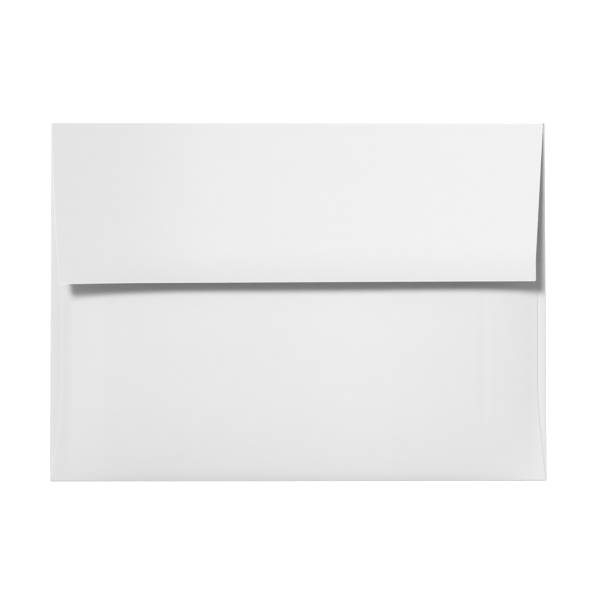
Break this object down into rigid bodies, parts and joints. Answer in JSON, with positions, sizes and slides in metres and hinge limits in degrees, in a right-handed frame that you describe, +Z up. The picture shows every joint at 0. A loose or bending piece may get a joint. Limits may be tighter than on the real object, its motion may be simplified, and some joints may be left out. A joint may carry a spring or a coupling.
{
  "type": "paper envelope",
  "caption": "Plain white rectangular paper envelope lying flap side up: a square seal flap springs a little open over the back panel, which is glued to side flaps inside.",
  "frame": {"origin": "middle of the envelope's rectangle, on the surface that its address face lies on", "axes": "+X along the long side, to the right as seen from above with the top fold away; +Y towards the top fold, where the seal flap hinges; +Z up, out of the flap side"},
  "size_m": [0.1842, 0.1334, 0.0074],
  "materials": {
    "paper": "smooth uncoated white wove paper, matte"
  },
  "bodies": {
    "root": {"envelope": "paper"}
  },
  "joints": []
}
